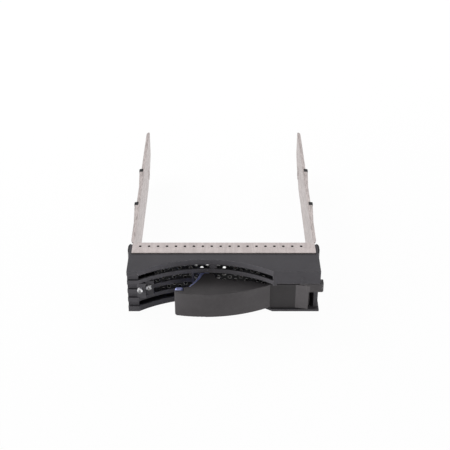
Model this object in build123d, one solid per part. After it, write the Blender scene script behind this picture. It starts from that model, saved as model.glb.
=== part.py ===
from build123d import *
import os
from math import sqrt

# Carrier tray for one 3.5-inch server drive. Millimetres.
# Origin: middle of the bezel's front plane, on the underside. +X right, +Y into the bay, +Z up.

# the drive that the tray holds
drive_width = 101.6
drive_length = 147.0
drive_side_gap = 0.4
drive_front_gap = 1.0
drive_screw_setback = 16.9
drive_screw_rear = 28.5
drive_screw_height = 7.0

# clearances
fit_gap = 0.1
moving_gap = 0.3
pin_clearance = 0.05
press_clearance = 0.01

# folded steel frame
sheet = 0.8
strip_depth = 9.4
strip_hole_pitch = 5.1
strip_hole_radius = 0.7
strip_hole_setback = 3.0
strip_hole_margin = 8.5
strip_crease_setback = 4.2
strip_crease = 0.15
strip_front_ease = 0.25
bead_radius = 0.95
bead_lift = 0.23
bead_setback = 2.2
flange_overhang = 1.2
flange_corner = 1.8
flare = 0.9
flare_length = 20.0
rail_short_of_drive = 8.0
rail_tail_length = 9.0
rail_tail_slope = 22.0
rail_tail_rise = 11.3
rail_tail_step = 6.0
screw_boss_radius = 4.2
screw_boss_height = 0.25
drive_hole_radius = 1.9
window_width = 19.0
window_low = 9.0
window_drop = 5.0
relief = 1.4
relief_setback = 1.0

# bezel
bezel_height = 27.2
bezel_rear = 11.0
bezel_side = 1.6
wall = 2.0
base_wall = 1.3
column_width = 6.0
column_wall = 1.5
block_width = 26.25
block_rise = 1.15
side_inset = 0.7
side_wall = 2.3
side_setback = 3.0
bumper_proud = 1.0
bumper_low = 5.0
bumper_drop = 0.3
bumper_taper = 4.0
bumper_corner = 2.6
bumper_wrap = 1.0
bumper_hook = 0.6
bumper_peg_radius = 1.0
bumper_peg_drop = 5.0
bumper_peg_wall = 0.5
screw_inset = 5.8
screw_low = 4.9
screw_drop = 5.4
screw_boss_wall = 1.6
screw_web = 1.2

# louvres
scoop_depth = 11.75
slat_levels = 3
slat_slot = 2.65
top_slot = 2.25
slat_depth = 1.2
slat_bevel = 0.9
slat_ease = 0.15
slab_lip = 4.0
base_lip = 3.4
base_lip_reach = 16.0
groove_depth = 1.8
light_pocket_width = 7.5
light_divider = 0.8
rib = 1.2
pocket_wall_left = 6.875

# screen behind the slats
screen_sheet = 0.8
screen_setback = 3.65
screen_hole_radius = 1.1
screen_hole_pitch = 6.35
screen_row_pitch = 2.15
screen_hole_margin = 3.4
screen_row_margin = 2.9
screen_ledge = 2.2

# handle
bow_proud = 7.8
bow_reach_left = 17.0
handle_wall = 2.2
handle_deck = 2.0
handle_lift = 0.3
handle_round_top = 0.6
handle_round_bottom = 0.5
handle_round_end = 1.2
running_gap = 0.35
panel_width = 14.4
panel_y = 1.3
ramp_width = 7.0
ramp_rise = 1.3
ramp_past_pivot = 3.2
ramp_return = 0.4
knuckle_radius = 4.2
pivot_inset = 9.6
pivot_y = 3.5
cam_reach = 11.55
cam_height = 5.3
cam_front = 0.0
cam_back = 4.8
cam_bevel = 0.7
cam_corner = 0.2
cam_gap = 0.3
cam_root = 2.3
collar_radius = 2.6
cam_room = 1.1
pin_radius = 1.5
pin_seat_depth = 0.9
hinge_boss_wall = 2.2
washer_radius = 2.9
washer_lift = 0.05

# hump of the handle's top, in X from the scoop's middle and in Y
hump = [(-8.6, -0.6), (-6.6, 1.8), (-4.7, 4.4), (-3.2, 7.0), (-2.2, 9.5), (-1.5, 11.4)]
crown_y = 12.7
crown_right = 3.1
deck_back = 6.2
deck_back_right = 5.0
hinge_end_length = 2.8
shoulder_length = 8.5
floor_back = 4.0

# latch
latch_pivot_left = 6.4
latch_pivot_y = -2.5
latch_hub_radius = 2.6
latch_pin_radius = 1.0
latch_pin_cover = 0.8
latch_pin_reach = 5.5
catch_right_of_scoop = 2.225
catch_width = 4.0
blade_foot = 0.35
blade_crown = 1.8
blade_nose = 0.6
blade_drop = 0.3
arm_reach = 2.0
arm_height = 4.0
arm_thickness = 1.8
arm_inner_foot = -2.5
arm_inner_crown = -1.0
blade_low = 2.0
pad_inset = 0.2
pad_width = 4.4
pad_front = -3.0
pad_back = 0.2
pad_round = 1.3
pad_top_round = 0.8
spring_hub_radius = 1.7
spring_radius = 2.15
spring_wire = 0.2
spring_turns = 4
spring_room = 3.0
spring_front_leg = 2.72
spring_rear_leg = 3.6

# light pipes, clips and glides
pipe_tip_radius = 1.5
pipe_tip_length = 2.8
pipe_tip_drop = 0.8
pipe_tip_proud = 0.6
pipe_tip_lead = 1.4
pipe_dimple_radius = 1.35
pipe_dimple_depth = 0.45
pipe_inset = 1.0
pipe_spacing = 4.7
pipe_width = 1.1
pipe_height = 3.0
pipe_neck = 2.4
pipe_stack_gap = 0.4
pipe_turn_setback = 7.0
pipe_end_setback = 5.0
pipe_space = 0.12
pipe_holder_back = 0.6
pipe_holder = 0.9
clip_length = 6.0
clip_sheet = 0.6
clip_leg = 1.2
clip_space = 0.15
clip_setbacks = [24.0, 64.0, 106.0]
glide_length = 3.6
glide_proud = 1.3
glide_height = 9.0
glide_round = 0.8
glide_clearance = 0.2
glide_setbacks = [42.0, 84.0]

# screws
screw_radius = 1.45
screw_length = 6.0
screw_head_radius = 2.5
screw_head_height = 0.9
screw_slot = (2.4, 0.9, 0.5)

# places worked out from the sizes above
web_in = drive_width / 2 + drive_side_gap
web_out = web_in + sheet
flange_out = web_out + flange_overhang
half = web_out + bezel_side
screen_front = scoop_depth + screen_setback
recess_back = screen_front + screen_sheet
bezel_depth = recess_back + bezel_rear
strip_front = bezel_depth - strip_depth
wall_back = bezel_depth + sheet
drive_front = wall_back + drive_front_gap
rail_end = drive_front + drive_length - rail_short_of_drive
sheet_top = bezel_height + sheet

scoop_left = column_width - half
scoop_right = half - block_width
scoop_half = (scoop_right - scoop_left) / 2
scoop_x = (scoop_right + scoop_left) / 2
scoop_radius = (scoop_half**2 + scoop_depth**2) / (2 * scoop_depth)
scoop_y = scoop_depth - scoop_radius

slat_pitch = (bezel_height - slab_lip - top_slot - base_lip) / slat_levels
slat_height = slat_pitch - slat_slot
slat_tops = [base_lip + slat_pitch * level for level in range(slat_levels, 0, -1)]
upper_slat_bottom = slat_tops[0] - slat_height
block_floor = upper_slat_bottom + block_rise
pocket_wall_x = scoop_x - pocket_wall_left
strip_hole_count = int((half - strip_hole_margin - scoop_left) / strip_hole_pitch) + 1

handle_top = upper_slat_bottom - running_gap
handle_bottom = base_wall + handle_lift
pivot_x = half - pivot_inset
ramp_right = pivot_x + ramp_past_pivot
ramp_left = ramp_right - ramp_width
panel_left = ramp_left - panel_width
bow_left = scoop_x - bow_reach_left
bow_rise = bow_proud + panel_y
bow_radius = ((panel_left - scoop_x) ** 2 + bow_rise**2) / (2 * bow_rise)
bow_y = bow_radius - bow_proud
cam_top = block_floor - cam_gap
cam_bottom = cam_top - cam_height
pin_low = base_wall - pin_seat_depth
pin_high = block_floor + wall + pin_seat_depth

latch_x = scoop_x - latch_pivot_left
deck_low = handle_top - handle_deck
floor_top = handle_bottom + handle_deck
lever_low = floor_top + moving_gap
lever_high = deck_low - moving_gap
arm_low = lever_low + spring_room
catch_left = scoop_x + catch_right_of_scoop
nose_right = catch_left - moving_gap

pipe_tip_height = slat_tops[1] - pipe_tip_drop
pipe_low = pipe_tip_height - pipe_tip_radius - pipe_stack_gap
pipe_high = pipe_tip_height + pipe_tip_radius
pipe_floor = pipe_low - pipe_height
pipe_web_x = web_out + fit_gap + pipe_width / 2
drive_holes = [drive_front + drive_screw_setback, drive_front + drive_length - drive_screw_rear]
glide_places = [wall_back + setback for setback in glide_setbacks]
clip_places = [wall_back + setback for setback in clip_setbacks]
screw_heights = (screw_low, bezel_height - screw_drop)
screw_places = [(side * (half - screw_inset), z) for side in (-1, 1) for z in screw_heights]


def block(x0, x1, y0, y1, z0, z1):
    return Pos((x0 + x1) / 2, (y0 + y1) / 2, (z0 + z1) / 2) * Box(x1 - x0, y1 - y0, z1 - z0)


def post(x, y, radius, z0, z1):
    return Pos(x, y, (z0 + z1) / 2) * Cylinder(radius, z1 - z0)


def rod_x(y, z, radius, x0, x1):
    return Pos((x0 + x1) / 2, y, z) * Rot(0, 90, 0) * Cylinder(radius, x1 - x0)


def rod_y(x, z, radius, y0, y1):
    return Pos(x, (y0 + y1) / 2, z) * Rot(90, 0, 0) * Cylinder(radius, y1 - y0)


def prism(points, z0, z1):
    """Outline in X and Y, pushed up."""
    return extrude(Pos(0, 0, z0) * make_face(Polyline(*points, close=True)), z1 - z0)


def side_prism(points, x0, x1):
    """Outline in Y and Z, pushed along X."""
    face = make_face(Polyline(*[(0, y, z) for y, z in points], close=True))
    return Pos(x0, 0, 0) * extrude(face, x1 - x0, dir=(1, 0, 0))


def other_side(shape):
    return mirror(shape, Plane.YZ)


def write(node, shape):
    shape.label = node
    export_step(shape, "parts/" + node + ".step")


def bow(x, inset=0):
    """Front of the handle's bow at x, or a face that far behind it."""
    return bow_y - sqrt((bow_radius - inset) ** 2 - (x - scoop_x) ** 2)


def scoop(x):
    """Front of the louvres at x."""
    return scoop_y + sqrt(scoop_radius**2 - (x - scoop_x) ** 2)


def louvre(z0, z1, x0, x1, bevel):
    """Bar that follows the scoop, with its lower front edge bevelled."""
    inner = scoop_radius
    outer = scoop_radius + slat_depth
    section = [(inner, z0 + bevel), (inner, z1 - slat_ease), (inner + slat_ease, z1)]
    section += [(outer, z1), (outer, z0), (inner + bevel, z0)]
    face = make_face(Polyline(*[(r, 0, z) for r, z in section], close=True))
    ring = Pos(scoop_x, scoop_y, 0) * revolve(face, Axis.Z)
    return ring & block(x0, x1, 0, bezel_depth, z0 - 1, z1 + 1)


def outer_plate(z0, z1):
    plate = block(-half, half, 0, bezel_depth, z0, z1)
    return plate - post(scoop_x, scoop_y, scoop_radius, z0 - 1, z1 + 1)


def bezel_column():
    """Left end of the face: banded front, hollow behind."""
    column = block(-half, scoop_left, 0, recess_back, 0, bezel_height)
    column -= block(-half + wall, scoop_left - column_wall, wall + groove_depth, recess_back + 1,
                    base_wall, bezel_height - wall)
    slot = slat_pitch - slat_height
    for top in slat_tops + [base_lip]:
        groove = [(-1, top), (groove_depth, top), (groove_depth, top + slot), (slat_bevel, top + slot)]
        groove += [(0, top + slot + slat_bevel), (-1, top + slot + slat_bevel)]
        column -= side_prism(groove, -half - 1, scoop_left + 1)
    return column


def bezel_block():
    """Right end of the face: a box over the hinge recess."""
    box = block(scoop_right, half, 0, recess_back, block_floor, bezel_height)
    box -= block(scoop_right + wall, half - wall, wall, recess_back + 1,
                 block_floor + wall, bezel_height - wall)
    box += block(scoop_right, scoop_right + wall, 0, recess_back, upper_slat_bottom, block_floor + 1)
    back = block(scoop_right, half - wall, recess_back, recess_back + wall, 0, bezel_height)
    side = block(half - side_inset - side_wall, half - side_inset, side_setback, recess_back + wall,
                 0, block_floor + 1)
    boss = post(pivot_x, pivot_y, pin_radius + hinge_boss_wall, block_floor, pin_high + wall / 2)
    return box + back + side + boss


def bezel_slats():
    slats = louvre(bezel_height - slab_lip, bezel_height, scoop_left, scoop_right, slat_bevel)
    slats += louvre(0, base_lip, scoop_left, scoop_x + base_lip_reach, slat_ease)
    slats += louvre(upper_slat_bottom, slat_tops[0], scoop_left, scoop_right + 1, slat_bevel)
    for top, left in zip(slat_tops[1:], (scoop_left + light_pocket_width, scoop_left)):
        slats += louvre(top - slat_height, top, left, pocket_wall_x, slat_bevel)
    return slats


def bezel_dividers():
    """Upright walls behind the louvres, and the catch that faces the latch's nose."""
    high = upper_slat_bottom + rib / 2
    low = slat_tops[2] - rib / 2
    outer_x, inner_x = [x for x, y in pipe_tips()]
    walls = block(pocket_wall_x - rib, pocket_wall_x, scoop(pocket_wall_x - rib) + slat_ease, screen_front,
                  base_wall - rib / 2, high)
    dividers = ((outer_x + inner_x) / 2, scoop_left + light_pocket_width)
    lefts = (scoop_left - 0.5, dividers[0])
    for left, x, (_, tip_y) in zip(lefts, dividers, pipe_tips()):
        back = tip_y + pipe_tip_length - pipe_holder_back
        walls += block(x, x + light_divider, back - pipe_holder, screen_front, low, high)
        walls += block(left, x + light_divider, back - pipe_holder, back, low, high)
    catch_right = catch_left + catch_width
    walls += block(catch_left, catch_right, crown_y + moving_gap + blade_nose, screen_front,
                   slat_tops[2], high)
    walls += block(catch_left, catch_right, scoop_depth + slat_depth / 2, screen_front,
                   upper_slat_bottom, bezel_height - slab_lip + rib)
    return walls


def bezel_ledge():
    """Frame that the screen sits against."""
    low = base_wall
    high = bezel_height - wall
    frame = block(scoop_left - column_wall, scoop_right, recess_back, recess_back + rib,
                  low - rib / 2, high + rib / 2)
    return frame - block(scoop_left + screen_ledge, scoop_right - screen_ledge, recess_back - 1,
                         recess_back + rib + 1, low + screen_ledge, high - screen_ledge)


def screw_bosses():
    front = recess_back + wall / 2
    bosses = []
    for x, z in screw_places:
        bosses.append(rod_y(x, z, screw_radius + screw_boss_wall, front, bezel_depth))
        z0, z1 = (z, bezel_height - wall / 2) if z > bezel_height / 2 else (base_wall / 2, z)
        bosses.append(block(x - screw_web / 2, x + screw_web / 2, front, bezel_depth, z0, z1))
    return bosses


def hinge_room():
    """Recess under the block, the cam's way through the side wall, and the pin's seats."""
    recess = block(scoop_right, half - side_inset - side_wall, -1, recess_back, base_wall, block_floor)
    recess -= block(scoop_right - 1, scoop_right + wall, -2, recess_back + 1, upper_slat_bottom, block_floor)
    sweep = post(pivot_x, pivot_y, cam_reach + cam_room, cam_bottom - moving_gap, block_floor)
    sweep &= block(pivot_x, half + 1, -1, recess_back, 0, bezel_height)
    seat = post(pivot_x, pivot_y, pin_radius + press_clearance, pin_low - fit_gap, pin_high + fit_gap)
    return [recess, sweep, seat]


def bumper_pegs(side, clearance):
    """Two pegs of a side bumper, or the holes for them, above and below the light pipes."""
    radius = bumper_peg_radius + clearance
    y = strip_front + strip_depth / 2
    low = pipe_floor - moving_gap - bumper_peg_radius - bumper_peg_wall
    x0 = half - wall + bumper_peg_wall - clearance
    pegs = [rod_x(y, z, radius, x0, half + moving_gap) for z in (low, bezel_height - bumper_peg_drop)]
    return pegs if side > 0 else [other_side(peg) for peg in pegs]


def make_bumper(side):
    """Nylon bumper on the bezel's side, curved inward behind the bezel's rear corner."""
    inner = half + pin_clearance
    outer = half + bumper_proud
    rear = bezel_depth + fit_gap
    end = bezel_depth + bumper_wrap
    outline = [(inner, strip_front), (outer, strip_front + bumper_taper), (outer, end - bumper_corner),
               (outer - bumper_proud / 3, end - bumper_corner / 3), (half, end), (half - bumper_hook, end),
               (half - bumper_hook, rear), (inner, rear)]
    body = prism(outline, bumper_low, bezel_height - bumper_drop)
    if side < 0:
        body = other_side(body) - block(-half, -web_out, strip_front, wall_back + 1,
                                        pipe_floor - moving_gap, pipe_high + moving_gap)
    return body + bumper_pegs(side, 0)


def make_bezel():
    body = outer_plate(0, base_wall) + outer_plate(bezel_height - wall, bezel_height)
    body += block(half - wall, half, recess_back, bezel_depth, 0, bezel_height)
    body += block(-half, -half + wall, recess_back, bezel_depth, 0, bezel_height)
    body += bezel_column() + bezel_block() + bezel_slats() + bezel_dividers() + bezel_ledge()
    body += screw_bosses()
    for x, z in screw_places:
        body -= rod_y(x, z, screw_radius, bezel_depth - screw_length - 0.5, bezel_depth + 1)
    body -= hinge_room()
    body -= pipe_way_out()
    for x, tip_y in pipe_tips():
        reach = tip_y + pipe_tip_length + pipe_neck
        body -= rod_y(x, pipe_tip_height, pipe_tip_radius + fit_gap, -1, reach)
    body -= pipe_passages()
    return body - bumper_pegs(-1, press_clearance) - bumper_pegs(1, press_clearance)


def make_screen():
    low = base_wall + fit_gap
    high = bezel_height - wall - fit_gap
    left = scoop_left + fit_gap
    right = scoop_right - fit_gap
    holes = []
    for row in range(int((high - low - screen_row_margin) / screen_row_pitch) + 1):
        z = low + screen_row_margin + row * screen_row_pitch
        for step in range(int((right - left - screen_hole_margin) / screen_hole_pitch)):
            x = left + screen_hole_margin + (step + 0.5 * ((row + 1) % 2)) * screen_hole_pitch
            if not catch_left < x < catch_left + catch_width:
                holes.append(rod_y(x, z, screen_hole_radius, screen_front - 1, recess_back + 1))
    return block(left, right, screen_front, recess_back, low, high) - holes - pipe_passages()


def pipe_tips():
    """Where each round tip stands, in X, and how far forward its face reaches."""
    outer_x = scoop_left + pipe_inset
    inner_x = outer_x + pipe_spacing
    return [(outer_x, -pipe_tip_proud), (inner_x, scoop(inner_x) - pipe_tip_lead)]


def pipe_bars():
    """Middle in X, underside and top of each flat bar behind its tip."""
    (outer_x, _), (inner_x, _) = pipe_tips()
    return [(outer_x, pipe_high - pipe_height, pipe_high), (inner_x, pipe_floor, pipe_low)]


def pipe_passages():
    """Space round both light pipes from their tips back through the screen and its ledge."""
    reach = pipe_width / 2 + pipe_space
    starts = [tip_y + pipe_tip_length - pipe_holder_back for _, tip_y in pipe_tips()]
    return [block(x - reach, x + reach, start, recess_back + rib + 0.5, z0 - pipe_space, z1 + pipe_space)
            for (x, z0, z1), start in zip(pipe_bars(), starts)]


def pipe_way_out():
    """Slot for the light pipes through the left side wall."""
    return block(-half - 1, -half + 2 * wall, bezel_depth - pipe_turn_setback, bezel_depth + 1,
                 pipe_floor - moving_gap, pipe_high + moving_gap)


def make_pipe(tip, bar, turn_y):
    """Clear pipe: round tip at the face, then a flat bar that steps out beside the rail."""
    tip_x, tip_y = tip
    _, z0, z1 = bar
    w = pipe_width / 2
    start = tip_y + pipe_tip_length - 0.5
    end_y = rail_end - pipe_end_setback
    out_y = bezel_depth - 1.5
    pipe = rod_y(tip_x, pipe_tip_height, pipe_tip_radius, tip_y, tip_y + pipe_tip_length)
    dimple = Sphere(pipe_dimple_radius)
    pipe -= Pos(tip_x, tip_y - pipe_dimple_radius + pipe_dimple_depth, pipe_tip_height) * dimple
    pipe += block(tip_x - w, tip_x + w, start, start + pipe_neck, z0, max(z1, pipe_tip_height))
    plan = [(tip_x - w, start), (tip_x + w, start), (tip_x + w, turn_y + w), (w - pipe_web_x, out_y)]
    plan += [(w - pipe_web_x, end_y), (-w - pipe_web_x, end_y), (-w - pipe_web_x, out_y - w)]
    plan.append((tip_x - w, turn_y))
    return pipe + prism(plan, z0, z1)


def rail_side():
    """Side view of one rail, in Y and Z."""
    tail = rail_end - rail_tail_length
    return [(bezel_depth, 0), (tail - rail_tail_slope, 0), (tail, rail_tail_step),
            (rail_end, rail_tail_rise), (rail_end, sheet_top), (bezel_depth, sheet_top)]


def rail_flange():
    """Plan of the right flange, in X and Y, with a flare before each glide."""
    front = wall_back + flange_corner / 3
    points = [(web_in, front), (flange_out - flange_corner / 3, front), (flange_out, front + flange_corner)]
    for y in glide_places:
        behind = y + glide_length + 2 * glide_clearance
        points += [(flange_out, y - flare_length), (flange_out + flare, y - glide_length)]
        points += [(flange_out + flare, y), (web_out, y), (web_out, behind), (flange_out, behind)]
    return points + [(flange_out, rail_end - 2.0), (flange_out - 0.8, rail_end), (web_in, rail_end)]


def make_rail():
    rail = side_prism(rail_side(), web_in, web_out)
    rail += prism(rail_flange(), bezel_height, sheet_top)
    for y in drive_holes:
        rail += rod_x(y, drive_screw_height, screw_boss_radius, web_in - screw_boss_height, web_out)
        rail -= rod_x(y, drive_screw_height, drive_hole_radius, web_in - 2, web_out + 2)
    return rail


def make_strip():
    """Perforated strip over the bezel's rear edge, with a pressed bead in front of each hole."""
    x1 = web_out + fit_gap
    z0 = bezel_height
    z1 = sheet_top
    crease_y = bezel_depth - strip_crease_setback
    section = [(strip_front, z0), (strip_front, z1 - strip_front_ease), (strip_front + strip_front_ease, z1),
               (crease_y - 2 * strip_crease, z1), (crease_y, z1 - strip_crease),
               (crease_y + 2 * strip_crease, z1), (wall_back, z1), (wall_back, z0)]
    strip = side_prism(section, -x1, x1)
    y = bezel_depth - strip_hole_setback
    for number in range(strip_hole_count):
        x = scoop_left + number * strip_hole_pitch
        strip += Pos(x, y - bead_setback, z1 + bead_lift - bead_radius) * Sphere(bead_radius)
        strip -= post(x, y, strip_hole_radius, z0 - 1, z1 + 1)
    return strip - block(-half, half, strip_front - 1, wall_back + 1, z0 - 1.5, z0)


def make_frame():
    front = block(-web_out, web_out, bezel_depth, wall_back, 0.5, sheet_top)
    front -= block(catch_left - window_width / 2, catch_left + window_width / 2, bezel_depth - 1,
                   wall_back + 1, window_low, bezel_height - window_drop)
    rail = make_rail()
    frame = front + rail + other_side(rail) + make_strip()
    for x, z in screw_places:
        frame -= rod_y(x, z, screw_radius + fit_gap, bezel_depth - 1, wall_back + 1)
    notch = block(web_in - relief, web_in, bezel_depth - relief_setback, wall_back + 1,
                  bezel_height - 0.5, sheet_top + 1)
    frame -= [notch, other_side(notch)]
    frame -= block(-half, 1 - web_in, bezel_depth - 1, wall_back + 1.5, pipe_floor - moving_gap,
                   pipe_high + moving_gap)
    return frame


def make_screws():
    screws = []
    head_top = wall_back + screw_head_height
    for x, z in screw_places:
        screw = rod_y(x, z, screw_radius - 2 * press_clearance, bezel_depth - screw_length, wall_back + 0.2)
        screw += rod_y(x, z, screw_head_radius, wall_back, head_top)
        for turn in (0, 90):
            screw -= Pos(x, head_top, z) * Rot(0, turn, 0) * Box(*screw_slot)
        screws.append(screw)
    return Compound(children=screws)


def make_glide(y, side):
    """Nylon glide: a block outside the web, held in the flange's notch."""
    y0 = y + glide_clearance
    y1 = y0 + glide_length
    body = block(web_out + pin_clearance, flange_out + glide_proud, y0, y1,
                 bezel_height - glide_height, sheet_top - fit_gap)
    body = fillet(body.edges().filter_by(Axis.Z).group_by(Axis.X)[-1], glide_round)
    return body if side > 0 else other_side(body)


def clip_legs():
    """Heights of a clip's two legs, under and over the pipes."""
    reach = clip_space + clip_leg / 2
    return (pipe_floor - reach, pipe_high + reach)


def make_clip(y):
    low, high = clip_legs()
    inner = pipe_web_x + pipe_width / 2 + fit_gap
    y0 = y - clip_length / 2
    y1 = y + clip_length / 2
    w = clip_leg / 2
    clip = block(-inner - clip_sheet, -inner, y0, y1, low - w, high + w)
    for z in (low, high):
        clip += block(-inner, -web_out - pin_clearance, y0, y1, z - w, z + w)
    return clip


def hump_edge(foot, crown):
    """Left side of the hump, moved outward by foot at its start and by crown at its end."""
    step = (crown - foot) / (len(hump) - 1)
    offsets = [foot + step * number for number in range(len(hump))]
    return [(scoop_x + dx - away, y + away / 2) for (dx, y), away in zip(hump, offsets)]


def hinge_end():
    """Rear edge of the handle round the hinge."""
    back = pivot_y + knuckle_radius
    near = panel_left - hinge_end_length
    return [(pivot_x, back), (panel_left + 4.0, back), (panel_left + 1.5, panel_y + handle_wall),
            (near, bow(near, handle_wall))]


def hinge_face():
    """Flat panel and ramp in front of the hinge, from left to right."""
    return [(panel_left, panel_y), (ramp_left, panel_y), (ramp_right, panel_y - ramp_rise),
            (ramp_right + ramp_return, pivot_y)]


def deck_edge():
    """Rear edge of the handle's top, from the hinge round the hump to the thumb pad."""
    near = panel_left - hinge_end_length
    shoulder = [(near - shoulder_length, deck_back_right), (scoop_x + 10.0, deck_back),
                (scoop_x + 7.8, deck_back + 0.6), (scoop_x + 5.5, deck_back + 2.2),
                (scoop_x + crown_right + 1.1, crown_y - 1.0), (scoop_x + crown_right, crown_y)]
    pad_side = bow_left + pad_inset + pad_width + 0.5
    foot = [(pad_side, hump[0][1] - 0.7), (pad_side, bow(pad_side, handle_wall))]
    return hinge_end() + shoulder + [(scoop_x - 0.2, crown_y - 0.2)] + hump_edge(0, 0)[::-1] + foot


def floor_edge():
    """Rear edge of the handle's bottom, short of the base lip."""
    left = scoop_x - latch_pivot_left
    end = left - latch_pin_reach
    return hinge_end() + [(panel_left - shoulder_length - 2 * hinge_end_length, floor_back - 1),
                          (scoop_x + 4.0, floor_back), (left, floor_back - 2), (end, bow(end, handle_wall))]


def handle_plate(z0, z1, rear):
    """Flat floor or top of the handle between the bow and a rear edge."""
    points = rear + [(bow_left, bow(bow_left, handle_wall)), (bow_left, -bow_proud - 2)]
    points += [(panel_left, -bow_proud - 2)] + hinge_face()
    keep = post(scoop_x, bow_y, bow_radius, z0 - 1, z1 + 1)
    keep += block(panel_left, half, -bow_proud, bow_y / 2, z0 - 1, z1 + 1)
    return prism(points, z0, z1) & keep


def bow_wall():
    wall_ring = post(scoop_x, bow_y, bow_radius, handle_bottom, handle_top)
    wall_ring -= post(scoop_x, bow_y, bow_radius - handle_wall, handle_bottom - 1, handle_top + 1)
    return wall_ring & block(bow_left, panel_left + 1, -bow_proud - 1, bow_y / 2, 0, bezel_height)


def hinge_body():
    """Solid behind the panel and the ramp, with the round knuckle."""
    join = panel_left - 1
    outline = [(join, bow(join, moving_gap))] + hinge_face()
    outline += [(pivot_x, pivot_y + 1), (ramp_left, panel_y + handle_wall), (join, panel_y + handle_wall)]
    knuckle = post(pivot_x, pivot_y, knuckle_radius, handle_bottom, handle_top)
    knuckle &= block(pivot_x - knuckle_radius, half, pivot_y, bow_y / 2, handle_bottom, handle_top)
    collar = post(pivot_x, pivot_y, collar_radius, handle_top - 1, cam_top)
    return prism(outline, handle_bottom, handle_top) + knuckle + collar


def cam_tooth():
    x1 = pivot_x + cam_reach
    points = [(pivot_x, pivot_y - cam_root), (pivot_x + cam_root, cam_front), (x1 - cam_bevel, cam_front),
              (x1, cam_front + cam_bevel), (x1, cam_back - cam_corner), (x1 - cam_corner, cam_back),
              (pivot_x, cam_back)]
    return prism(points, cam_bottom, cam_top)


def soften(shell):
    """Round the bow's lower left corner and its long outer edges."""
    corner = [edge for edge in shell.edges().filter_by(Axis.Y, tolerance=45)
              if abs(edge.center().X - bow_left) < 0.01 and abs(edge.center().Z - handle_bottom) < 0.01]
    shell = fillet(corner, handle_round_end)
    bow_edges = [edge for edge in shell.edges().filter_by(GeomType.CIRCLE)
                 if abs(edge.radius - bow_radius) < 0.01 and edge.length > panel_width]
    top = [edge for edge in bow_edges if edge.center().Z > bezel_height / 2]
    shell = fillet(top, handle_round_top)
    bottom = [edge for edge in shell.edges().filter_by(GeomType.CIRCLE)
              if abs(edge.radius - bow_radius) < 0.01 and abs(edge.center().Z - handle_bottom) < 0.01]
    return fillet(bottom, handle_round_bottom)


def make_handle():
    shell = bow_wall() + hinge_body() + cam_tooth()
    shell += handle_plate(deck_low, handle_top, deck_edge())
    shell += handle_plate(handle_bottom, floor_top, floor_edge())
    for x in (scoop_x + 8.0, scoop_x + 20.0):
        y = bow(x, handle_wall / 2)
        shell += block(x, x + rib, y, y + 4.0, floor_top - 0.5, deck_low + 0.5)
    shell -= post(pivot_x, pivot_y, pin_radius + pin_clearance, handle_bottom - 1, cam_top + 1)
    shell -= post(latch_x, latch_pivot_y, latch_pin_radius + press_clearance, handle_bottom - 1,
                  handle_top - latch_pin_cover)
    return soften(shell)


def make_lever():
    hub = post(latch_x, latch_pivot_y, latch_hub_radius, arm_low, lever_high)
    hub += post(latch_x, latch_pivot_y, spring_hub_radius, lever_low, arm_low + 1)
    outer = hump_edge(moving_gap + blade_foot, moving_gap + blade_crown)
    inner = hump_edge(moving_gap, moving_gap)
    hidden = hump_edge(arm_inner_foot, arm_inner_crown)[1:]
    root = latch_pivot_y + 1.0
    arm = [(latch_x - arm_reach, root)] + outer + hidden[::-1] + [(latch_x + arm_reach, root)]
    nose_y = crown_y + moving_gap
    crown = [(scoop_x - 2.2, nose_y + blade_nose), (nose_right, nose_y + blade_nose), (nose_right, nose_y),
             (scoop_x - 0.4, nose_y)]
    lever = hub + prism(arm, arm_low, lever_high)
    lever += prism(outer + crown + inner[::-1], arm_low + blade_low, handle_top - blade_drop)
    return (lever + thumb_pad()) - post(latch_x, latch_pivot_y, latch_pin_radius + pin_clearance,
                                        lever_low - 1, lever_high + 1)


def thumb_pad():
    left = bow_left + pad_inset
    right = left + pad_width
    arm_y = latch_pivot_y + 0.4
    pad = block(left, right, pad_front, pad_back, lever_low + 0.2, handle_top - 2 * blade_drop)
    pad = fillet(pad.edges().filter_by(Axis.Z), pad_round)
    pad = fillet(pad.faces().sort_by(Axis.Z)[-1].edges(), pad_top_round)
    return pad + block(right - pad_round, latch_x, arm_y, arm_y + arm_thickness,
                       arm_low, arm_low + arm_height)


def make_spring():
    """Coil round the latch's hub: one leg under the arm, one toward the bow."""
    height = spring_room - 4 * spring_wire
    z0 = lever_low + 2 * spring_wire
    helix = Helix(pitch=height / spring_turns, height=height, radius=spring_radius)
    section = Plane(origin=helix @ 0, z_dir=helix % 0) * Circle(spring_wire)
    coil = sweep(section, path=helix)
    coil += rod_y(spring_radius, 0, spring_wire, -spring_front_leg, 0)
    coil += rod_y(spring_radius, height, spring_wire, 0, spring_rear_leg)
    return Pos(latch_x, latch_pivot_y, z0) * coil


def make_washer(z0, z1):
    ring = post(pivot_x, pivot_y, washer_radius, z0, z1)
    return ring - post(pivot_x, pivot_y, pin_radius + pin_clearance, z0 - 1, z1 + 1)


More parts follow.
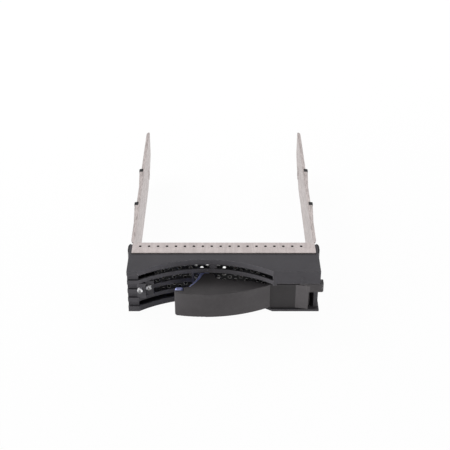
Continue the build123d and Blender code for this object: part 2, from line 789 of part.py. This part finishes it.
def main():
    os.makedirs("parts", exist_ok=True)
    write("bezel_body", make_bezel())
    write("vent_screen", make_screen())
    write("carrier_frame", make_frame())
    write("bezel_screws", make_screws())
    write("side_bumper_left", make_bumper(-1))
    write("side_bumper_right", make_bumper(1))
    for name, y in zip(("front", "rear"), glide_places):
        write("glide_left_" + name, make_glide(y, -1))
        write("glide_right_" + name, make_glide(y, 1))
    turns = (bezel_depth - pipe_turn_setback, bezel_depth - pipe_turn_setback - 2.0)
    for name, tip, bar, turn_y in zip(("outer", "inner"), pipe_tips(), pipe_bars(), turns):
        write("light_pipe_" + name, make_pipe(tip, bar, turn_y))
    for name, y in zip(("front", "middle", "rear"), clip_places):
        write("pipe_clip_" + name, make_clip(y))
    write("handle_shell", make_handle())
    write("hinge_pin", post(pivot_x, pivot_y, pin_radius, pin_low, pin_high))
    write("hinge_washer_lower", make_washer(base_wall, handle_bottom - washer_lift))
    write("hinge_washer_upper", make_washer(cam_top + washer_lift, block_floor))
    write("latch_lever", make_lever())
    latch_pin_top = handle_top - latch_pin_cover
    write("latch_pin", post(latch_x, latch_pivot_y, latch_pin_radius, handle_bottom, latch_pin_top))
    write("latch_spring", make_spring())


main()
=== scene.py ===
import bpy
import math
from mathutils import Matrix, Vector


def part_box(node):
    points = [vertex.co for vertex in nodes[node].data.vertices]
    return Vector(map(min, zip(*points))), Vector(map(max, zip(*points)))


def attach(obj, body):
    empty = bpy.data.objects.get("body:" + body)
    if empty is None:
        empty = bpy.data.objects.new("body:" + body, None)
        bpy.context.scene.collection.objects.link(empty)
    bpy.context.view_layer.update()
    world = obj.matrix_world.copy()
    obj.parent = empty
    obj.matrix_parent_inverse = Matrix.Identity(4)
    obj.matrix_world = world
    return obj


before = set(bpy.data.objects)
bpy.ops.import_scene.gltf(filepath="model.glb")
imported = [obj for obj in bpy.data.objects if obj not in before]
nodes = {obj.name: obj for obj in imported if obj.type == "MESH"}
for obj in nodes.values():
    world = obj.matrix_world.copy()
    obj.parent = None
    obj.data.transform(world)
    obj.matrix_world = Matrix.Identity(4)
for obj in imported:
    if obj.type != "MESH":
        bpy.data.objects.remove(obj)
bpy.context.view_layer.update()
print("frame loaded:", len(nodes), "nodes")


# shader tree helpers

def addNode(tree, kind, **settings):
    node = tree.nodes.new(kind)
    for name, value in settings.items():
        setattr(node, name, value)
    return node


def fill(node, **values):
    for name, value in values.items():
        node.inputs[name.replace("_", " ")].default_value = value
    return node


def freshMaterial(name):
    material = bpy.data.materials.new(name)
    material.use_nodes = True
    tree = material.node_tree
    tree.nodes.clear()
    out = addNode(tree, "ShaderNodeOutputMaterial")
    shader = addNode(tree, "ShaderNodeBsdfPrincipled")
    tree.links.new(shader.outputs[0], out.inputs["Surface"])
    return material, tree, shader


def objectSpace(tree, stretch=(1, 1, 1)):
    coords = addNode(tree, "ShaderNodeTexCoord")
    mapping = addNode(tree, "ShaderNodeMapping")
    mapping.inputs["Scale"].default_value = stretch
    tree.links.new(coords.outputs["Object"], mapping.inputs["Vector"])
    return mapping.outputs[0]


def noise(tree, vector, scale, detail=3.0, roughness=0.55, distortion=0.0):
    node = addNode(tree, "ShaderNodeTexNoise")
    fill(node, Scale=scale, Detail=detail, Roughness=roughness, Distortion=distortion)
    tree.links.new(vector, node.inputs["Vector"])
    return node.outputs["Fac"]


def ramp(tree, factor, low, high, lowAt=0.3, highAt=0.7):
    node = addNode(tree, "ShaderNodeValToRGB")
    ends = node.color_ramp.elements
    ends[0].position, ends[1].position = lowAt, highAt
    ends[0].color = (*low, 1)
    ends[1].color = (*high, 1)
    tree.links.new(factor, node.inputs["Fac"])
    return node.outputs["Color"]


def greys(tree, factor, low, high, lowAt=0.3, highAt=0.7):
    return ramp(tree, factor, [low] * 3, [high] * 3, lowAt, highAt)


def spread(tree, factor, low, high, fromLow=0.3, fromHigh=0.7):
    node = addNode(tree, "ShaderNodeMapRange")
    for index, value in enumerate((fromLow, fromHigh, low, high), start=1):
        node.inputs[index].default_value = value
    tree.links.new(factor, node.inputs[0])
    return node.outputs[0]


def blendColours(tree, factor, first, second, mode="MIX"):
    node = addNode(tree, "ShaderNodeMix", data_type="RGBA", blend_type=mode)
    for socket, value in ((node.inputs[0], factor), (node.inputs[6], first), (node.inputs[7], second)):
        if hasattr(value, "links"):
            tree.links.new(value, socket)
        elif isinstance(value, (int, float)):
            socket.default_value = value
        else:
            socket.default_value = (*value, 1)
    return node.outputs[2]


def multiplied(tree, body, shades):
    return blendColours(tree, 1.0, body, shades, "MULTIPLY")


def maths(tree, operation, first, second, clamp=False):
    node = addNode(tree, "ShaderNodeMath", operation=operation, use_clamp=clamp)
    for socket, value in zip(node.inputs, (first, second)):
        if hasattr(value, "links"):
            tree.links.new(value, socket)
        else:
            socket.default_value = value
    return node.outputs[0]


def bump(tree, height, distance, strength=1.0, under=None):
    node = addNode(tree, "ShaderNodeBump")
    fill(node, Distance=distance, Strength=strength)
    tree.links.new(height, node.inputs["Height"])
    if under is not None:
        tree.links.new(under, node.inputs["Normal"])
    return node.outputs[0]


def roundedNormal(tree, radius, samples=6):
    node = addNode(tree, "ShaderNodeBevel", samples=samples)
    node.inputs["Radius"].default_value = radius
    return node.outputs[0]


def edgeMask(tree, rounded):  # near 1 along edges, where the rounded normal leaves the true one
    flat = addNode(tree, "ShaderNodeNewGeometry")
    dot = addNode(tree, "ShaderNodeVectorMath", operation="DOT_PRODUCT")
    tree.links.new(rounded, dot.inputs[0])
    tree.links.new(flat.outputs["True Normal"], dot.inputs[1])
    return spread(tree, dot.outputs["Value"], 1.0, 0.0, 0.72, 0.985)


def along(tree, space, axis):
    place = addNode(tree, "ShaderNodeSeparateXYZ")
    tree.links.new(space, place.inputs[0])
    return place.outputs[axis]


def within(tree, space, low, high):  # 1 inside a box of the object's own space
    place = addNode(tree, "ShaderNodeSeparateXYZ")
    tree.links.new(space, place.inputs[0])
    inside = 1.0
    for axis, start, end in zip("XYZ", low, high):
        past = maths(tree, "GREATER_THAN", place.outputs[axis], start)
        inside = maths(tree, "MULTIPLY", inside, past)
        inside = maths(tree, "MULTIPLY", inside, maths(tree, "LESS_THAN", place.outputs[axis], end))
    return inside


# moulded plastics: cloudy body colour, spark-eroded grain, paler edges that are partly rubbed wear and partly
# a painted highlight

moulding = dict(clouds=60, mottle=620, mottleShades=(0.93, 1.06), grainShades=(0.90, 1.08),
                edgePatches=900, wornAndHighlit=(0.25, 0.9), smoother=0.05, rougher=0.06)

plastics = {
    "bezelBlack": dict(colour=(0.057, 0.0545, 0.0600), paler=(0.068, 0.0655, 0.0715),
                       edge=(0.28, 0.277, 0.282), roughness=0.56, grain=5200, grainDepth=0.000012,
                       edgeRadius=0.0003, specular=0.20),
    "handleBlack": dict(colour=(0.057, 0.053, 0.055), paler=(0.068, 0.064, 0.066), edge=(0.17, 0.162, 0.164),
                        roughness=0.50, grain=5200, grainDepth=0.000010, edgeRadius=0.0003, specular=0.20,
                        # painted shade on the handle's recessed panel (0.62) and painted light on its
                        # left-facing ramp (1.60)
                        paintedLightFaces=[dict(low=(0.0259, -0.01, 0), high=(0.0402, 0.0022, 0.0173), paintedLightFactor=0.62),
                                dict(low=(0.0402, -0.01, 0), high=(0.0480, 0.0030, 0.0173), paintedLightFactor=1.60)]),
    "nylonBlack": dict(colour=(0.008, 0.008, 0.009), paler=(0.012, 0.012, 0.013), edge=(0.022, 0.022, 0.023),
                       roughness=0.42, grain=3000, grainDepth=0.000006, edgeRadius=0.0002, specular=0.16),
    "latchBlue": dict(colour=(0.41, 0.45, 0.82), paler=(0.48, 0.52, 0.88), edge=(0.60, 0.64, 0.93),
                      roughness=0.34, grain=2500, grainDepth=0.000005, edgeRadius=0.0004, specular=0.45),
}


def mouldedPlastic(name):
    look = plastics[name]
    material, tree, shader = freshMaterial(name)
    space = objectSpace(tree)
    clouds = noise(tree, space, moulding["clouds"], 4)  # slow drift of the pigment
    mottle = noise(tree, space, moulding["mottle"], 3, 0.6)  # sheen patches a millimetre or two wide
    grain = noise(tree, space, look["grain"], 2)
    body = ramp(tree, clouds, look["colour"], look["paler"], 0.35, 0.68)
    body = multiplied(tree, body, greys(tree, mottle, *moulding["mottleShades"]))
    body = multiplied(tree, body, greys(tree, grain, *moulding["grainShades"]))
    for paintedFace in look.get("paintedLightFaces", []):  # painted shade darkens the recessed panel, painted light brightens the ramp beside it
        inside = within(tree, space, paintedFace["low"], paintedFace["high"])
        body = multiplied(tree, body, spread(tree, inside, 1.0, paintedFace["paintedLightFactor"], 0.0, 1.0))
    rounded = roundedNormal(tree, look["edgeRadius"])
    # paler edges: partly rubbed wear, partly a painted highlight where light catches the edges
    wornAndHighlit = spread(tree, noise(tree, space, moulding["edgePatches"], 3), *moulding["wornAndHighlit"], 0.35, 0.6)
    wearAndHighlight = maths(tree, "MULTIPLY", edgeMask(tree, rounded), wornAndHighlit)
    tree.links.new(blendColours(tree, wearAndHighlight, body, look["edge"]), shader.inputs["Base Color"])
    rough = spread(tree, mottle, look["roughness"] - moulding["smoother"],
                   look["roughness"] + moulding["rougher"])
    tree.links.new(rough, shader.inputs["Roughness"])
    shader.inputs["Specular IOR Level"].default_value = look["specular"]
    tree.links.new(bump(tree, grain, look["grainDepth"], 1.0, rounded), shader.inputs["Normal"])
    return material


# metals: zinc flowers, wavy rolling streaks, hairlines

rolling = dict(facetShades=(0.95, 1.03), lineShades=(0.94, 1.03), smoother=0.03, rougher=0.05,
               edgeRadius=0.00025)

metals = {
    "zincSheet": dict(scuffs=(2100, 170, 2100), scuffShade=(0.60, 0.59, 0.58), scuffPale=(1.04, 1.04, 1.04),
                      scuffFrom=(0.029, 0.036), colour=(0.555, 0.497, 0.487),
                      paler=(0.620, 0.558, 0.546), roughness=0.42, streaks=(300, 45, 300), waver=1.6,
                      flower=260, hairlines=(900, 12600, 12600), depth=0.000006),
    # near-black sleeves lining the strip's holes: painted shade inside the holes
    "holeShadeSleeve": dict(colour=(0.018, 0.016, 0.016), paler=(0.030, 0.028, 0.028), roughness=0.60,
                         streaks=(900, 900, 300), waver=0.4, flower=1200, hairlines=(3000, 3000, 600),
                         depth=0.000004),
    # pale rims on the vent screen's holes: partly bare punched edges, partly a painted glint of light through
    # the holes
    "paleRimGlints": dict(colour=(0.42, 0.42, 0.41), paler=(0.56, 0.56, 0.55), roughness=0.50,
                      streaks=(900, 900, 900), waver=0.4, flower=1200, hairlines=(3000, 3000, 3000),
                      depth=0.000004),
    "pinSteel": dict(colour=(0.40, 0.40, 0.42), paler=(0.50, 0.50, 0.51), roughness=0.30,
                     streaks=(700, 700, 120), waver=0.6, flower=900, hairlines=(1500, 1500, 9000),
                     depth=0.000004),
}


def rolledMetal(name):
    look = metals[name]
    material, tree, shader = freshMaterial(name)
    space = objectSpace(tree)
    streaks = noise(tree, objectSpace(tree, look["streaks"]), 1.0, 3, 0.5, look["waver"])
    hairlines = noise(tree, objectSpace(tree, look["hairlines"]), 1.0, 2)
    flower = addNode(tree, "ShaderNodeTexVoronoi")
    flower.inputs["Scale"].default_value = look["flower"]
    tree.links.new(space, flower.inputs["Vector"])
    facet = addNode(tree, "ShaderNodeSeparateColor")
    tree.links.new(flower.outputs["Color"], facet.inputs[0])
    body = ramp(tree, streaks, look["colour"], look["paler"], 0.36, 0.62)
    body = multiplied(tree, body, greys(tree, facet.outputs[0], *rolling["facetShades"], 0.1, 0.9))
    body = multiplied(tree, body, greys(tree, hairlines, *rolling["lineShades"]))
    if "scuffs" in look:  # long scratches on the rails, where drives slide in and out
        scuffs = noise(tree, objectSpace(tree, look["scuffs"]), 1.0, 4, 0.65, 0.8)
        onRail = spread(tree, along(tree, space, "Y"), 0.0, 1.0, *look["scuffFrom"])
        scratches = ramp(tree, scuffs, look["scuffShade"], look["scuffPale"], 0.38, 0.56)
        body = blendColours(tree, onRail, body, multiplied(tree, body, scratches))
    tree.links.new(body, shader.inputs["Base Color"])
    shader.inputs["Metallic"].default_value = 1.0
    rough = spread(tree, streaks, look["roughness"] + rolling["rougher"],
                   look["roughness"] - rolling["smoother"])
    tree.links.new(rough, shader.inputs["Roughness"])
    rounded = roundedNormal(tree, rolling["edgeRadius"], 4)
    tree.links.new(bump(tree, hairlines, look["depth"], 1.0, rounded), shader.inputs["Normal"])
    return material


screenPaint = dict(colour=(0.010, 0.010, 0.012), paler=(0.018, 0.018, 0.020), mist=700,
                   roughness=(0.42, 0.6), grain=3000, grainDepth=0.000008)


def paintedScreen(name):
    material, tree, shader = freshMaterial(name)
    space = objectSpace(tree)
    mist = noise(tree, space, screenPaint["mist"], 4)
    tree.links.new(ramp(tree, mist, screenPaint["colour"], screenPaint["paler"]), shader.inputs["Base Color"])
    tree.links.new(spread(tree, mist, *screenPaint["roughness"]), shader.inputs["Roughness"])
    grain = noise(tree, space, screenPaint["grain"], 2)
    tree.links.new(bump(tree, grain, screenPaint["grainDepth"]), shader.inputs["Normal"])
    return material


pipeClear = dict(colour=(0.74, 0.74, 0.75), haze=(0.88, 0.88, 0.89), bar=(0.36, 0.37, 0.38),
                 barFrom=(0.004, 0.008), cloud=900, roughness=(0.25, 0.45), ior=1.58, clearness=0.12,
                 # the tip foot colour is painted shade on the lower part of each round tip
                 grain=2600, grainDepth=0.000006, tipCore=(0.07, 0.065, 0.065), tipFootShade=(0.20, 0.20, 0.20),
                 footLow=(0.002, 0.003, 0.003), footHigh=(0.002, 0.0026, -0.0005),
                 cores=[dict(place=(-0.0466, -0.0003, 0.0144), reach=(0.00105, 0.002, 0.0005)),
                        dict(place=(-0.0419, 0.0025, 0.0141), reach=(0.0006, 0.003, 0.0007))])


def frostedPipe(name):
    material, tree, shader = freshMaterial(name)
    space = objectSpace(tree)
    haze = noise(tree, space, pipeClear["cloud"], 3)
    body = ramp(tree, haze, pipeClear["colour"], pipeClear["haze"])
    behindTip = spread(tree, along(tree, space, "Y"), 0.0, 1.0, *pipeClear["barFrom"])
    body = blendColours(tree, behindTip, body, pipeClear["bar"])
    for core in pipeClear["cores"]:  # the dark core of each round tip, and painted shade on its lower foot
        place, reach = Vector(core["place"]), Vector(core["reach"])
        foot = within(tree, space, place - Vector(pipeClear["footLow"]),
                      place + Vector(pipeClear["footHigh"]))
        body = blendColours(tree, foot, body, pipeClear["tipFootShade"])
        near = addNode(tree, "ShaderNodeTexGradient", gradient_type="SPHERICAL")
        centred = addNode(tree, "ShaderNodeMapping")
        centred.inputs["Scale"].default_value = [1 / size for size in reach]
        centred.inputs["Location"].default_value = [-at / size for at, size in zip(place, reach)]
        tree.links.new(space, centred.inputs["Vector"])
        tree.links.new(centred.outputs[0], near.inputs["Vector"])
        inCore = spread(tree, near.outputs["Fac"], 0.0, 1.0, 0.1, 0.5)
        body = blendColours(tree, inCore, body, pipeClear["tipCore"])
    tree.links.new(body, shader.inputs["Base Color"])
    tree.links.new(spread(tree, haze, *pipeClear["roughness"]), shader.inputs["Roughness"])
    shader.inputs["IOR"].default_value = pipeClear["ior"]
    shader.inputs["Transmission Weight"].default_value = pipeClear["clearness"]
    grain = noise(tree, space, pipeClear["grain"], 2)
    tree.links.new(bump(tree, grain, pipeClear["grainDepth"]), shader.inputs["Normal"])
    return material


def dress(material, *names):
    for name in names:
        slots = nodes[name].data.materials
        slots.clear()
        slots.append(material)


zinc = rolledMetal("zincSheet")
holeShade = rolledMetal("holeShadeSleeve")
paleRimGlint = rolledMetal("paleRimGlints")
paint = paintedScreen("screenPaint")
dress(mouldedPlastic("bezelBlack"), "bezel_body")
dress(mouldedPlastic("handleBlack"), "handle_shell")
dress(mouldedPlastic("nylonBlack"), *[name for name in nodes if name.startswith(
    ("glide_", "pipe_clip_", "hinge_washer_", "side_bumper_"))])
dress(mouldedPlastic("latchBlue"), "latch_lever")
dress(zinc, "carrier_frame")
dress(rolledMetal("pinSteel"), "bezel_screws", "hinge_pin", "latch_pin", "latch_spring")
dress(paint, "vent_screen")
dress(frostedPipe("pipeClear"), "light_pipe_outer", "light_pipe_inner")
print("materials on the frame's nodes")


# rims round punched holes, grown in rows by geometry nodes: near-black sleeves paint shade in the strip's
# holes, pale rims on the screen's holes are partly bare punched edges and partly a painted glint

rimSizes = {"Count": ("Int", 1), "Rows": ("Int", 1), "Start": ("Vector", (0, 0, 0)),
            "Step": ("Vector", (0, 0, 0)), "Row Step": ("Vector", (0, 0, 0)), "Turn": ("Vector", (0, 0, 0)),
            "Hole Radius": ("Float", 0.001), "Lip": ("Float", 0.0001), "Depth": ("Float", 0.0001),
            "Gap From": ("Float", 0.0), "Gap To": ("Float", 0.0), "Finish": ("Material", None)}


def rimTree():
    tree = bpy.data.node_groups.new("holeRims", "GeometryNodeTree")
    for label, (kind, value) in rimSizes.items():
        socket = tree.interface.new_socket(label, in_out="INPUT", socket_type="NodeSocket" + kind)
        if value is not None:
            socket.default_value = value
    tree.interface.new_socket("Rims", in_out="OUTPUT", socket_type="NodeSocketGeometry")
    given = addNode(tree, "NodeGroupInput").outputs
    join = tree.links.new
    column = addNode(tree, "GeometryNodeMeshLine")  # one point per row
    join(given["Rows"], column.inputs["Count"])
    join(given["Start"], column.inputs["Start Location"])
    join(given["Row Step"], column.inputs["Offset"])
    line = addNode(tree, "GeometryNodeMeshLine")  # one point per hole of a row
    join(given["Count"], line.inputs["Count"])
    join(given["Step"], line.inputs["Offset"])
    rows = addNode(tree, "GeometryNodeInstanceOnPoints")
    join(column.outputs[0], rows.inputs["Points"])
    join(line.outputs[0], rows.inputs["Instance"])
    points = addNode(tree, "GeometryNodeRealizeInstances")
    join(rows.outputs[0], points.inputs[0])
    place = addNode(tree, "ShaderNodeSeparateXYZ")
    join(addNode(tree, "GeometryNodeInputPosition").outputs[0], place.inputs[0])
    past = addNode(tree, "FunctionNodeCompare", operation="GREATER_THAN")
    join(place.outputs["X"], past.inputs["A"])
    join(given["Gap From"], past.inputs["B"])
    before = addNode(tree, "FunctionNodeCompare", operation="LESS_THAN")
    join(place.outputs["X"], before.inputs["A"])
    join(given["Gap To"], before.inputs["B"])
    inside = addNode(tree, "FunctionNodeBooleanMath", operation="AND")
    join(past.outputs[0], inside.inputs[0])
    join(before.outputs[0], inside.inputs[1])
    kept = addNode(tree, "GeometryNodeDeleteGeometry", domain="POINT")
    join(points.outputs[0], kept.inputs["Geometry"])
    join(inside.outputs[0], kept.inputs["Selection"])
    ring = addNode(tree, "GeometryNodeCurvePrimitiveCircle")
    fill(ring, Resolution=20)
    join(given["Hole Radius"], ring.inputs["Radius"])
    section = addNode(tree, "GeometryNodeCurvePrimitiveQuadrilateral")
    join(given["Lip"], section.inputs["Width"])
    join(given["Depth"], section.inputs["Height"])
    lip = addNode(tree, "GeometryNodeCurveToMesh")
    join(ring.outputs[0], lip.inputs["Curve"])
    join(section.outputs[0], lip.inputs["Profile Curve"])
    rims = addNode(tree, "GeometryNodeInstanceOnPoints")
    join(kept.outputs[0], rims.inputs["Points"])
    join(lip.outputs[0], rims.inputs["Instance"])
    join(given["Turn"], rims.inputs["Rotation"])
    real = addNode(tree, "GeometryNodeRealizeInstances")
    join(rims.outputs[0], real.inputs[0])
    smooth = addNode(tree, "GeometryNodeSetShadeSmooth")
    join(real.outputs[0], smooth.inputs["Geometry"])
    finish = addNode(tree, "GeometryNodeSetMaterial")
    join(smooth.outputs[0], finish.inputs["Geometry"])
    join(given["Finish"], finish.inputs["Material"])
    join(finish.outputs[0], addNode(tree, "NodeGroupOutput").inputs[0])
    return tree


def growRims(name, tree, values, body):
    grower = bpy.data.objects.new(name + "Grower", bpy.data.meshes.new(name + "Grower"))
    bpy.context.scene.collection.objects.link(grower)
    modifier = grower.modifiers.new("rims", "NODES")
    modifier.node_group = tree
    for item in tree.interface.items_tree:
        if item.in_out == "INPUT" and item.name in values:
            modifier[item.identifier] = values[item.name]
    grown = grower.evaluated_get(bpy.context.evaluated_depsgraph_get())
    mesh = bpy.data.meshes.new_from_object(grown)
    mesh.name = name
    grower.modifiers.remove(modifier)
    bpy.data.objects.remove(grower)
    piece = bpy.data.objects.new(name, mesh)
    bpy.context.scene.collection.objects.link(piece)
    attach(piece, body)
    print(name, len(mesh.polygons), "faces")


stripRims = dict(first=-0.0476, count=19, pitch=0.0051, fromBack=0.0030, radius=0.00074, lip=0.00016,
                 depth=0.00084, bead=0.00023)
screenRims = dict(pitch=0.00635, rowPitch=0.00215, rows=10, count=11, side=0.0034, foot=0.0029,
                  radius=0.00104, lip=0.00026, depth=0.00030, catch=(-0.0079, -0.0039))


def punchedRims():
    tree = rimTree()
    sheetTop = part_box("carrier_frame")[1][2] - stripRims["bead"]  # pressed beads stand above the sheet
    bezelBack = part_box("bezel_body")[1][1]
    # the strip's holes get near-black sleeves, painted shade that darkens them
    growRims("stripHoleRims", tree, {
        "Count": stripRims["count"], "Step": (stripRims["pitch"], 0, 0),
        "Start": (stripRims["first"], bezelBack - stripRims["fromBack"], sheetTop - stripRims["depth"] / 2),
        "Hole Radius": stripRims["radius"], "Lip": stripRims["lip"], "Depth": stripRims["depth"],
        "Finish": holeShade}, "tray")
    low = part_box("vent_screen")[0]
    # pale rims on the screen's holes: partly bare punched edges, partly a painted glint
    for number, name in enumerate(("screenRimsEven", "screenRimsOdd")):
        shift = screenRims["pitch"] / 2 * (1 - number)
        growRims(name, tree, {
            "Count": screenRims["count"], "Step": (screenRims["pitch"], 0, 0),
            "Rows": screenRims["rows"] // 2, "Row Step": (0, 0, 2 * screenRims["rowPitch"]),
            "Start": (low[0] + screenRims["side"] + shift, low[1],
                      low[2] + screenRims["foot"] + number * screenRims["rowPitch"]),
            "Turn": (math.pi / 2, 0, 0), "Hole Radius": screenRims["radius"], "Lip": screenRims["lip"],
            "Depth": screenRims["depth"], "Gap From": screenRims["catch"][0],
            "Gap To": screenRims["catch"][1], "Finish": paleRimGlint}, "tray")


punchedRims()


# floor, light and camera

studio = dict(floorSize=6.0, floorDrop=0.0002, floorColour=(0.84, 0.84, 0.84), floorRoughness=0.9,
              floorSpecular=0.1, shadowKept=0.035, worldLevel=0.05)


def seenDirectly(tree):  # 1 for what the camera, a mirror or glass looks at, 0 for light on the object
    path = addNode(tree, "ShaderNodeLightPath").outputs
    mirrored = maths(tree, "ADD", path["Is Glossy Ray"], path["Is Transmission Ray"], True)
    return maths(tree, "ADD", path["Is Camera Ray"], mirrored, True)


def paleFloor():
    size = studio["floorSize"] / 2
    corners = [(-size, -size), (size, -size), (size, size), (-size, size)]
    mesh = bpy.data.meshes.new("studioFloor")
    mesh.from_pydata([(x, y, -studio["floorDrop"]) for x, y in corners], [], [(0, 1, 2, 3)])
    floor = bpy.data.objects.new("studioFloor", mesh)
    bpy.context.scene.collection.objects.link(floor)
    material, tree, shader = freshMaterial("floorPale")
    shader.inputs["Base Color"].default_value = (*studio["floorColour"], 1)
    shader.inputs["Roughness"].default_value = studio["floorRoughness"]
    shader.inputs["Specular IOR Level"].default_value = studio["floorSpecular"]
    glow = addNode(tree, "ShaderNodeEmission")
    mix = addNode(tree, "ShaderNodeMixShader")
    tree.links.new(maths(tree, "MULTIPLY", seenDirectly(tree), 1 - studio["shadowKept"]), mix.inputs[0])
    tree.links.new(shader.outputs[0], mix.inputs[1])
    tree.links.new(glow.outputs[0], mix.inputs[2])
    out = [node for node in tree.nodes if node.type == "OUTPUT_MATERIAL"][0]
    tree.links.new(mix.outputs[0], out.inputs["Surface"])
    mesh.materials.append(material)


def whiteWorld():
    world = bpy.data.worlds.new("studioWorld")
    bpy.context.scene.world = world
    world.use_nodes = True
    tree = world.node_tree
    background = [node for node in tree.nodes if node.type == "BACKGROUND"][0]
    background.inputs["Color"].default_value = (1, 1, 1, 1)
    strength = spread(tree, seenDirectly(tree), studio["worldLevel"], 1.0, 0.0, 1.0)
    tree.links.new(strength, background.inputs["Strength"])


lamps = {
    "sideLeft": dict(place=(-0.974, -0.177, 0.097), size=(0.5, 0.12), watts=16.5),
    "sideRight": dict(place=(0.981, -0.143, 0.097), size=(0.5, 0.12), watts=11.0),
    "lowFront": dict(place=(0.0, -0.966, 0.097), size=(0.5, 0.12), watts=2.4),
    "backLeft": dict(place=(-0.557, 0.693, 0.51), size=(0.6, 0.6), watts=9.0),
    "backRight": dict(place=(0.31, 0.882, 0.433), size=(0.6, 0.6), watts=6.0),
}
lampsAim = Vector((0, 0.03, 0.01))


def softLamp(name, look):
    data = bpy.data.lights.new(name, "AREA")
    data.shape = "RECTANGLE"
    data.size, data.size_y = look["size"]
    data.energy = look["watts"]
    lamp = bpy.data.objects.new(name, data)
    lamp.visible_glossy = False  # metal mirrors the white surroundings, not the lamps
    lamp.location = look["place"]
    direction = lampsAim - Vector(look["place"])
    lamp.rotation_euler = direction.to_track_quat("-Z", "Y").to_euler()
    bpy.context.scene.collection.objects.link(lamp)


view = dict(place=(-0.00071, -0.44471, 0.33528), down=32.0, yaw=0.174, roll=-0.107, focal=982.995,
            frame=450, sensor=36.0, clipStart=0.01)


def photoCamera():
    data = bpy.data.cameras.new("photoCamera")
    data.sensor_width = view["sensor"]
    data.lens = view["focal"] * data.sensor_width / view["frame"]
    data.clip_start = view["clipStart"]
    camera = bpy.data.objects.new("photoCamera", data)
    down, yaw, roll = (math.radians(view[key]) for key in ("down", "yaw", "roll"))
    forward = Vector((math.sin(yaw) * math.cos(down), math.cos(yaw) * math.cos(down), -math.sin(down)))
    level = Vector((math.cos(yaw), -math.sin(yaw), 0))
    below = forward.cross(level)
    right = math.cos(roll) * level + math.sin(roll) * below
    up = math.sin(roll) * level - math.cos(roll) * below
    turn = Matrix((right, up, -forward)).transposed()
    camera.matrix_world = Matrix.Translation(view["place"]) @ turn.to_4x4()
    bpy.context.scene.collection.objects.link(camera)
    bpy.context.scene.camera = camera


paleFloor()
whiteWorld()
for lampName, lampLook in lamps.items():
    softLamp(lampName, lampLook)
photoCamera()
bpy.context.scene.view_settings.view_transform = "Standard"
print("studio ready")
